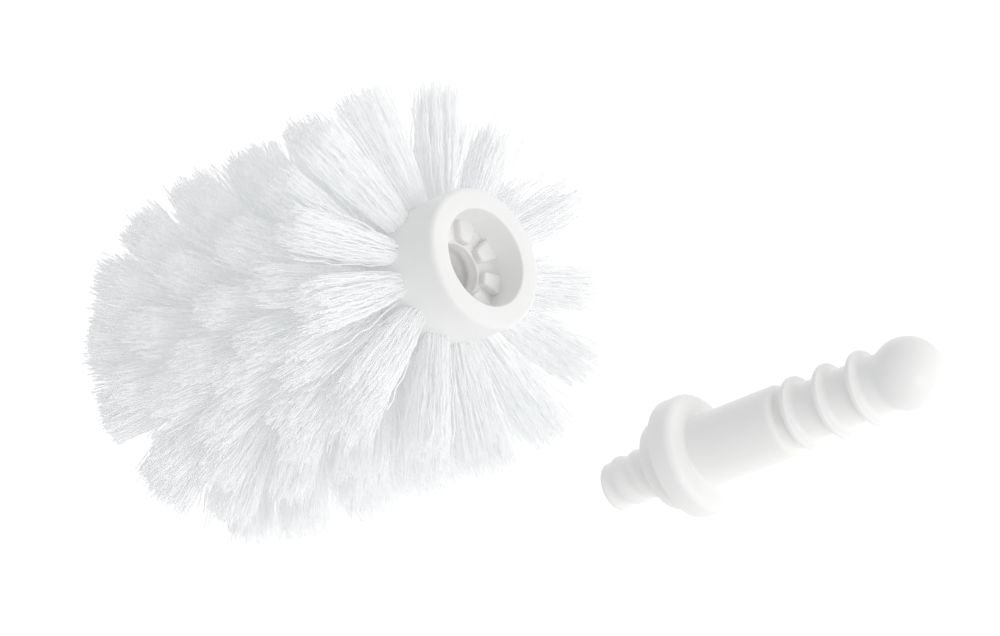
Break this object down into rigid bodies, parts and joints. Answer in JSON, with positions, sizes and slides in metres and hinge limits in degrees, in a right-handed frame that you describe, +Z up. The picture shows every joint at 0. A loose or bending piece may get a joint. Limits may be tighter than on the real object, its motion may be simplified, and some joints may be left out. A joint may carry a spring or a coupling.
{
  "type": "toilet brush head",
  "caption": "Replacement toilet brush head: moulded hub with a threaded socket ringed by lugs, covered in bristle tufts, and a loose ribbed handle adapter with a threaded stub.",
  "frame": {"origin": "on the surface that the head and the adapter lie on, in the middle of the footprint of the two", "axes": "+Z up, +X along the head's axis, out of its socket; the adapter lies on the -Y side with its ball towards +X"},
  "size_m": [0.1836, 0.098, 0.08],
  "materials": {
    "hub_plastic": "satin white moulded polypropylene",
    "adapter_plastic": "satin white moulded polypropylene, slightly milky",
    "bristle_fibre": "crimped white polypropylene filament, slightly translucent"
  },
  "bodies": {
    "head": {"hub": "hub_plastic", "tufts_row_1_2_01": "bristle_fibre", "tufts_row_1_2_02": "bristle_fibre", "tufts_row_1_2_03": "bristle_fibre", "tufts_row_1_2_04": "bristle_fibre", "tufts_row_1_2_05": "bristle_fibre", "tufts_row_1_2_06": "bristle_fibre", "tufts_row_1_2_07": "bristle_fibre", "tufts_row_1_2_08": "bristle_fibre", "tufts_row_1_2_09": "bristle_fibre", "tufts_row_1_2_10": "bristle_fibre", "tufts_row_1_2_11": "bristle_fibre", "tufts_row_1_2_12": "bristle_fibre", "tufts_row_1_2_13": "bristle_fibre", "tufts_row_3_4_01": "bristle_fibre", "tufts_row_3_4_02": "bristle_fibre", "tufts_row_3_4_03": "bristle_fibre", "tufts_row_3_4_04": "bristle_fibre", "tufts_row_3_4_05": "bristle_fibre", "tufts_row_3_4_06": "bristle_fibre", "tufts_row_3_4_07": "bristle_fibre", "tufts_row_3_4_08": "bristle_fibre", "tufts_row_3_4_09": "bristle_fibre", "tufts_row_3_4_10": "bristle_fibre", "tufts_row_3_4_11": "bristle_fibre", "tufts_row_3_4_12": "bristle_fibre", "tufts_row_3_4_13": "bristle_fibre", "tufts_row_5_6_01": "bristle_fibre", "tufts_row_5_6_02": "bristle_fibre", "tufts_row_5_6_03": "bristle_fibre", "tufts_row_5_6_04": "bristle_fibre", "tufts_row_5_6_05": "bristle_fibre", "tufts_row_5_6_06": "bristle_fibre", "tufts_row_5_6_07": "bristle_fibre", "tufts_row_5_6_08": "bristle_fibre", "tufts_row_5_6_09": "bristle_fibre", "tufts_row_5_6_10": "bristle_fibre", "tufts_row_5_6_11": "bristle_fibre", "tufts_row_5_6_12": "bristle_fibre", "tufts_row_5_6_13": "bristle_fibre", "tufts_row_7_8_01": "bristle_fibre", "tufts_row_7_8_02": "bristle_fibre", "tufts_row_7_8_03": "bristle_fibre", "tufts_row_7_8_04": "bristle_fibre", "tufts_row_7_8_05": "bristle_fibre", "tufts_row_7_8_06": "bristle_fibre", "tufts_row_7_8_07": "bristle_fibre", "tufts_row_7_8_08": "bristle_fibre", "tufts_row_7_8_09": "bristle_fibre", "tufts_row_7_8_10": "bristle_fibre", "tufts_row_7_8_11": "bristle_fibre", "tufts_row_7_8_12": "bristle_fibre", "tufts_row_7_8_13": "bristle_fibre", "tuft_end_01": "bristle_fibre", "tuft_end_02": "bristle_fibre", "tuft_end_03": "bristle_fibre", "tuft_end_04": "bristle_fibre", "tuft_end_05": "bristle_fibre", "tuft_end_centre": "bristle_fibre"},
    "adapter": {"adapter": "adapter_plastic"}
  },
  "joints": [
    {"name": "adapter_to_socket", "type": "hinge", "parent": "head", "child": "adapter", "pos_m": [0.01224, -0.01449, 0.02732], "axis": [-0.9982, -0.0313, 0.0518], "range_deg": [0, 180]}
  ]
}
